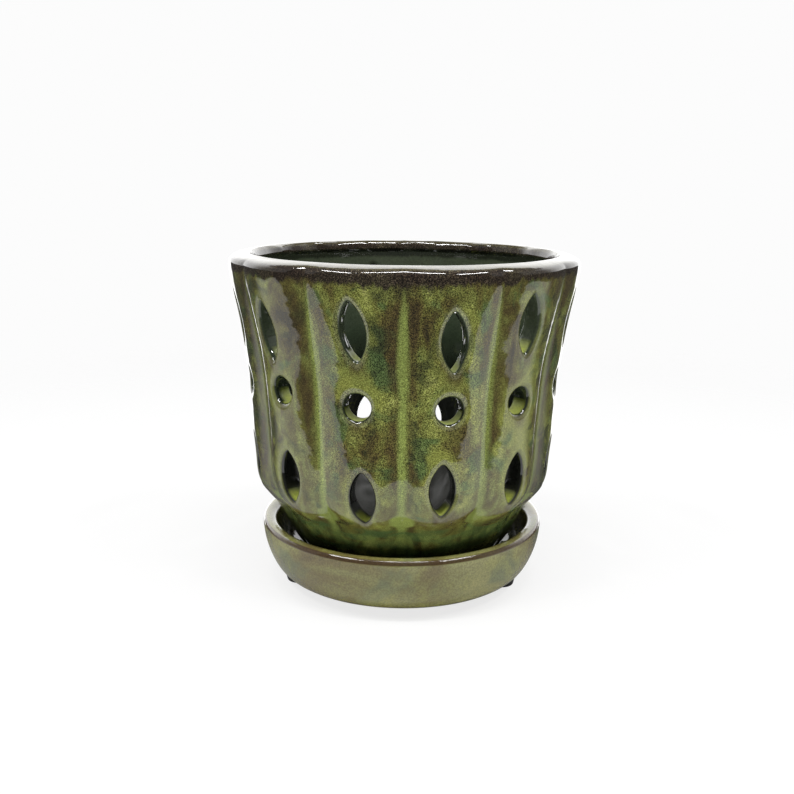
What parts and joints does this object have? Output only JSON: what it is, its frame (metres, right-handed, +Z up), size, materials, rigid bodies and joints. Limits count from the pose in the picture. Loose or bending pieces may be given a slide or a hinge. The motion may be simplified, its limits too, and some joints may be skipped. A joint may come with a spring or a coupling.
{
  "type": "orchid pot with saucer",
  "caption": "Glazed stoneware orchid pot with a lobed wall pierced by lens slots and round holes, standing loose in a matching dish on rubber bumpers.",
  "frame": {"origin": "on the surface that the bumpers stand on, under the middle of the saucer and the pot", "axes": "+Z up along the pot's axis, X and Y through the middles of lobes"},
  "size_m": [0.127, 0.127, 0.1224],
  "materials": {
    "pot_glaze": "glossy mottled moss green glaze breaking brown at the edges",
    "saucer_glaze": "glossy olive glaze with a brown rim line",
    "bumper_rubber": "matt black rubber"
  },
  "bodies": {
    "dish": {"saucer": "saucer_glaze", "foot_1": "bumper_rubber", "foot_2": "bumper_rubber", "foot_3": "bumper_rubber"},
    "pot": {"pot": "pot_glaze"}
  },
  "joints": [
    {"name": "pot_lift", "type": "slide", "parent": "dish", "child": "pot", "axis": [0, 0, 1], "range_m": [0, 0.06]}
  ]
}
